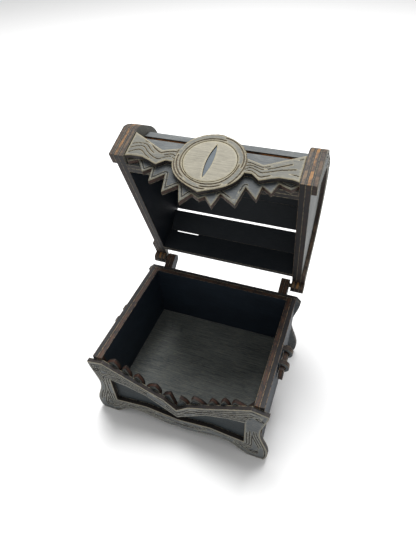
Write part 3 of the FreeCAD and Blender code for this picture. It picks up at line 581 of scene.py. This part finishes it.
def solid_from_face(plate, points, faces, segments, loops, distance, cut, groove_depth,
                    chamfer):
    """Closed mesh: engraved face, cut edge with a worn arris on both sides, flat back."""
    round_off = np.clip(1 - distance / chamfer, 0, 1) ** 2 * chamfer
    top = PLY - groove_cut(cut) * groove_depth - round_off
    count = len(points)
    rim = sorted({index for segment in segments for index in segment})
    below = {index: count + place for place, index in enumerate(rim)}
    back = {index: count + len(rim) + place for place, index in enumerate(rim)}
    vertices = [(u, v, w) for (u, v), w in zip(points, top)]
    vertices += [(*points[index], PLY / 2) for index in rim]
    vertices += [(*points[index], 0.0) for index in rim]
    polygons = list(faces)
    outward = edge_directions(polygons, segments)
    for start, end in outward:
        polygons.append((end, start, below[start], below[end]))
        polygons.append((below[end], below[start], back[start], back[end]))
    place_of = {index: place for place, index in enumerate(rim)}
    rim_segments = [(place_of[start], place_of[end]) for start, end in segments]
    for face in triangles(points[rim], rim_segments, loops):
        polygons.append(tuple(back[rim[place]] for place in reversed(face)))
    mesh = bpy.data.meshes.new(plate.name + "_carved")
    mesh.from_pydata([tuple(point) for point in plate.world(vertices)], [], polygons)
    padding = np.zeros(len(vertices) - count)
    for name, values in (("groove", cut), ("rim", np.clip(1 - distance / 1.6, 0, 1))):
        layer = mesh.attributes.new(name, "FLOAT", "POINT")
        layer.data.foreach_set("value", np.concatenate((values, padding)).astype(np.float32))
    mesh.validate()
    return bpy.data.objects.new(plate.name + "_carved", mesh)


def edge_directions(polygons, segments):
    """Outline segments in the direction in which the face's polygons run along them."""
    wanted = {frozenset(segment) for segment in segments}
    found = []
    for polygon in polygons:
        for start, end in zip(polygon, polygon[1:] + polygon[:1]):
            if frozenset((start, end)) in wanted:
                found.append((start, end))
    return found


def place_carved(name, body, look, slot, engrave, **settings):
    """Carve a plate's replacement, paint it and let it stand for the CAD node."""
    plate = PLATES[name]
    piece = carve(plate, engrave, **settings)
    bpy.context.scene.collection.objects.link(piece)
    paint(piece, plate, look)
    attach(piece, body)
    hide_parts(name)
    return piece


def carve_front_frame():
    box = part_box("front_frame")
    half = (box[1].x - box[0].x) / MM / 2
    tall = (box[1].z - box[0].z) / MM
    plate = PLATES["front_frame"]
    middle = plate.local([((box[0].x + box[1].x) / 2, box[0].y, (box[0].z + box[1].z) / 2)])[0]
    knots = []
    for side in SIDES.values():
        knots += [(side * (half - 7), 0.35 * tall, 2.2, 1.0, -side * 25),
                  (side * (half - 9), -0.36 * tall, 2.0, 0.9, side * 12)]
    knots = [(middle[0] + u, middle[1] + v, a, b, turn) for u, v, a, b, turn in knots]

    def engrave(points, distance):
        cut = flowing_grooves(points, distance, FRAME_LINES, 2.0)
        return np.maximum(cut, knot_grooves(points, knots))
    place_carved("front_frame", "tray", GREY_PAINT, "carved_ply", engrave, spacing=0.45)


def carve_back_frame():
    def engrave(points, distance):
        return flowing_grooves(points, distance, BACK_FRAME_LINES, 5.0, breaks=0.3)
    place_carved("back_outer_frame", "tray", GREY_PAINT, "carved_ply", engrave, spacing=0.7)


def carve_eye_board():
    plate = PLATES["eye_board"]
    outer, hole = face_loops(plate)[:2]
    dense = resampled(outer, 0.4)
    columns = np.arange(dense[:, 0].min(), dense[:, 0].max() + 1, 1.0)
    middle = np.interp(hole[:, 0].mean(), columns, columns)
    near = [dense[np.abs(dense[:, 0] - column) < 0.9, 1] for column in columns]
    low = np.array([values.min() for values in near])
    high = np.array([values.max() for values in near])
    ring = np.ptp(hole[:, 0]) / 2

    def engrave(points, distance):
        lower = np.interp(points[:, 0], columns, low)
        upper = np.interp(points[:, 0], columns, high)
        height = (points[:, 1] - lower) / (upper - lower)
        waver = wobble(points, 9.0, 8.0) * 0.12
        close = np.zeros(len(points))
        for index, share in enumerate(BEAM_LINES):
            gate = np.clip((wobble(points, 14.0, 30.0 + index) + 0.5) * 5, 0, 1)
            away = (height + waver - share) * (upper - lower)
            close = np.maximum(close, near_line(away, 0.75) * gate)
        from_hole = np.full(len(points), 1e9)
        for start, end in zip(hole, np.roll(hole, -1, axis=0)):
            from_hole = np.minimum(from_hole, distance_to_run(points, start, end))
        beam = np.abs(points[:, 0] - middle) > ring + RING_REACH
        close = np.where(beam, close * np.clip(distance / 1.2, 0, 1), 0)
        arcs = flowing_grooves(points, from_hole, RING_LINES, 8.0, drift=0.5, breaks=0.25)
        return np.where(beam, close, arcs)
    place_carved("eye_board", "lid", EYE_PAINT, "carved_ply", engrave, spacing=0.4, seed=4.0)


def carve_teeth():
    def engrave_upper(points, distance):
        return flowing_grooves(points, distance, UPPER_TEETH_LINES, 3.0, drift=0.3, breaks=-0.1)

    def engrave_lower(points, distance):
        return flowing_grooves(points, distance, LOWER_TEETH_LINES, 3.0, drift=0.2, breaks=0.0)
    place_carved("upper_teeth_panel", "lid", TEETH_PAINT, "teeth_ply", engrave_upper,
                 spacing=0.4, groove_depth=0.35, seed=6.0)
    place_carved("front_wall", "tray", MOUTH_PAINT, "teeth_ply", engrave_lower, spacing=0.5,
                 groove_depth=0.3, ragged=0.0, seed=7.0)


def carve_arches():
    for side_name in SIDES:
        def engrave(points, distance):
            return flowing_grooves(points, distance, ARCH_LINES, 9.0)
        place_carved("lid_" + side_name + "_arch", "lid", BLOCK_PAINT, "carved_ply", engrave,
                     spacing=0.6)


def carve_eye_disc():
    def engrave(points, distance):
        return np.zeros(len(points))
    place_carved("eye_disc", "lid", BLEACHED, "eye_ply", engrave, spacing=0.8, chamfer=0.2,
                 ragged=0.04)
    fill_pupil()


def fill_pupil():
    """Bottom of the shallow pupil: a plug in the carved disc's slit."""
    plate = PLATES["eye_disc"]
    slit = resampled(shape_loops(plate)[1], 0.8)
    count = len(slit)
    vertices = [(u, v, w) for w in (0.0, PLY - PUPIL_DEPTH) for u, v in slit]
    polygons = [tuple(reversed(range(count))), tuple(range(count, 2 * count))]
    for here in range(count):
        after = (here + 1) % count
        polygons.append((here, after, count + after, count + here))
    mesh = bpy.data.meshes.new("pupil")
    mesh.from_pydata([tuple(point) for point in plate.world(vertices)], [], polygons)
    pupil = bpy.data.objects.new("pupil", mesh)
    bpy.context.scene.collection.objects.link(pupil)
    paint(pupil, plate, PUPIL)
    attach(pupil, "lid")


def paint_plain_plates():
    looks = {"floor_panel": FLOOR_STAIN, "lid_front_facing": GREY_PAINT,
             "lid_front_board": ROOF_PAINT, "lid_back_board": ROOF_PAINT,
             "roof_front_strip": STRIP_PAINT, "left_handle": BROWN_STAIN,
             "right_handle": BROWN_STAIN}
    for name, plate in PLATES.items():
        if NODES[name].hide_render:
            continue
        look = looks.get(name, DARK_STAIN)
        if name.startswith("roof_board"):
            look = ROOF_PAINT
        if name.startswith("lid") and name.endswith("_inner_panel"):
            # over the roof the inner panels take the eye board's lighter paint: outside paint,
            # partly painted light
            paint(NODES[name], plate, LID_INSIDE, over_roof=EYE_PAINT)
            continue
        if name.startswith("lid") and name.endswith("_outer_panel"):
            # outer panels: grey paint whose faces are lightened as a painted sheen
            look = OUTER_PAINT_AND_SHEEN
        if name in ("left_outer_wall", "right_outer_wall"):
            look = OUTER_STAIN
        if name.endswith("_hook"):
            look = BLOCK_PAINT
        paint(NODES[name], plate, look)


# --- stage ------------------------------------------------------------------------------
CAMERA_PLACE = Vector((69.3, -181.4, 267.7)) * MM
CAMERA_TURN = (45.775, 1.774, 19.917)          # degrees
CAMERA_LENS = 27.0
CAMERA_SENSOR = 36.0
CAMERA_CLIP_START = 0.01
FLOOR_HALF = 3.0                               # metres
FLOOR_COLOUR = (0.92, 0.92, 0.92, 1)
SKY_STRENGTH = 0.5
KEY_PLACE = (-0.1, 0.42, 1.15)                 # behind and above the chest, metres
KEY_AIM = (0, 0, 0.05)
KEY_SIZE = 0.75
KEY_POWER = 20.0                               # watts


def make_camera():
    data = bpy.data.cameras.new("camera")
    data.lens = CAMERA_LENS
    data.sensor_width = CAMERA_SENSOR
    data.clip_start = CAMERA_CLIP_START
    camera = bpy.data.objects.new("camera", data)
    camera.location = CAMERA_PLACE
    camera.rotation_euler = [math.radians(angle) for angle in CAMERA_TURN]
    bpy.context.scene.collection.objects.link(camera)
    bpy.context.scene.camera = camera


def make_key_light():
    data = bpy.data.lights.new("key", "AREA")
    data.energy = KEY_POWER
    data.shape = "DISK"
    data.size = KEY_SIZE
    light = bpy.data.objects.new("key", data)
    light.location = KEY_PLACE
    way = Vector(KEY_AIM) - Vector(KEY_PLACE)
    light.rotation_euler = way.to_track_quat("-Z", "Y").to_euler()
    bpy.context.scene.collection.objects.link(light)


def make_floor():
    """Plain pale floor of one colour."""
    corners = [(-1, -1), (1, -1), (1, 1), (-1, 1)]
    mesh = bpy.data.meshes.new("studio_floor")
    mesh.from_pydata([(x * FLOOR_HALF, y * FLOOR_HALF, 0) for x, y in corners], [],
                     [(0, 1, 2, 3)])
    floor = bpy.data.objects.new("studio_floor", mesh)
    bpy.context.scene.collection.objects.link(floor)
    material = bpy.data.materials.new("studio_floor")
    material.use_nodes = True
    s = Shader(material.node_tree)
    surface = s.node("ShaderNodeBsdfPrincipled", {"Base Color": FLOOR_COLOUR,
                                                  "Roughness": 0.7,
                                                  "Specular IOR Level": 0.1})
    s.node("ShaderNodeOutputMaterial", {"Surface": surface.outputs[0]})
    mesh.materials.append(material)


def make_studio():
    world = bpy.data.worlds.new("studio")
    bpy.context.scene.world = world
    world.use_nodes = True
    s = Shader(world.node_tree)
    sky = s.node("ShaderNodeBackground", {"Color": (1, 1, 1, 1), "Strength": SKY_STRENGTH})
    s.node("ShaderNodeOutputWorld", {"Surface": sky.outputs[0]})
    make_floor()
    make_key_light()
    settings = bpy.context.scene.view_settings
    settings.view_transform = "Standard"
    settings.look = "None"
    settings.exposure = 0.0


make_camera()
make_studio()
carve_front_frame()
carve_back_frame()
carve_eye_board()
carve_teeth()
carve_arches()
carve_eye_disc()
paint_plain_plates()
